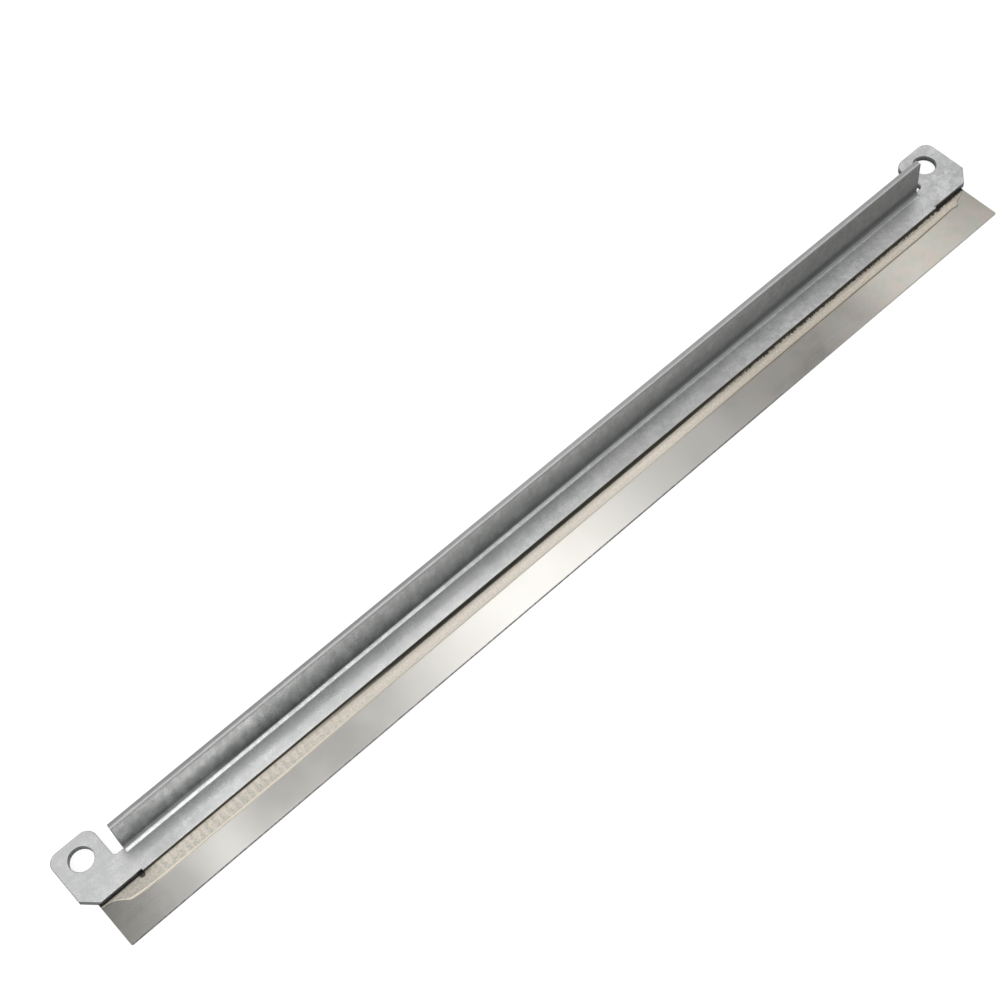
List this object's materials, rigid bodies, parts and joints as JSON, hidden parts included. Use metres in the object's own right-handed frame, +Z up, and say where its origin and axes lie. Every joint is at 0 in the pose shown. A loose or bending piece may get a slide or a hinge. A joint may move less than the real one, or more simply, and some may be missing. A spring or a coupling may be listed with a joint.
{
  "type": "printer doctor blade",
  "caption": "Thin steel metering strip glued under a bent sheet-steel bracket with an upright flange and a screw ear at each end.",
  "frame": {"origin": "bottom centre of the whole part, on the level surface that the blade lies on", "axes": "+X along the bar, +Y from the blade's free edge towards the upright flange, +Z up along the flange"},
  "size_m": [0.24, 0.0234, 0.0114],
  "materials": {
    "galvanised_sheet": "semi-gloss galvanised steel, finely mottled",
    "blade_steel": "smooth bright rolled stainless strip",
    "adhesive": "cured beige glue, slightly glossy"
  },
  "bodies": {
    "root": {"bracket": "galvanised_sheet", "blade": "blade_steel", "adhesive": "adhesive"}
  },
  "joints": []
}
